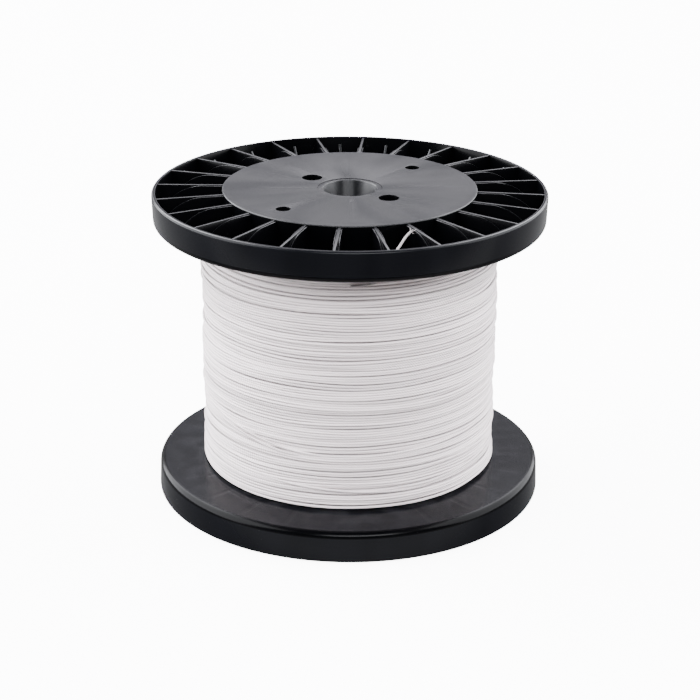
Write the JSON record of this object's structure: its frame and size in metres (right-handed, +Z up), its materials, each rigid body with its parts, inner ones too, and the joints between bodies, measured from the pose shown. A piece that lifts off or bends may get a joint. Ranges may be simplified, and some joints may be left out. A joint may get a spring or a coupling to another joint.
{
  "type": "string reel",
  "caption": "Black moulded plastic reel with ribbed flanges and a spindle bore, wound full of off-white braided string.",
  "frame": {"origin": "centre of the lower hub face, on the surface that the reel stands on", "axes": "+Z up along the spindle axis; the ribs start half a pitch from +X, and the free end of the string comes up near -Y"},
  "size_m": [0.16, 0.16, 0.1292],
  "materials": {
    "black_plastic": "satin moulded",
    "string": "braided, matt"
  },
  "bodies": {
    "root": {"lower_rim": "black_plastic", "lower_web": "black_plastic", "lower_ribs": "black_plastic", "lower_rib_roots": "black_plastic", "lower_gussets": "black_plastic", "lower_hub_wall": "black_plastic", "lower_hub_plate": "black_plastic", "upper_rim": "black_plastic", "upper_web": "black_plastic", "upper_ribs": "black_plastic", "upper_rib_roots": "black_plastic", "upper_gussets": "black_plastic", "upper_hub_wall": "black_plastic", "upper_hub_plate": "black_plastic", "barrel": "black_plastic", "spindle_tube": "black_plastic", "string_winding": "string", "string_tail": "string"}
  },
  "joints": []
}
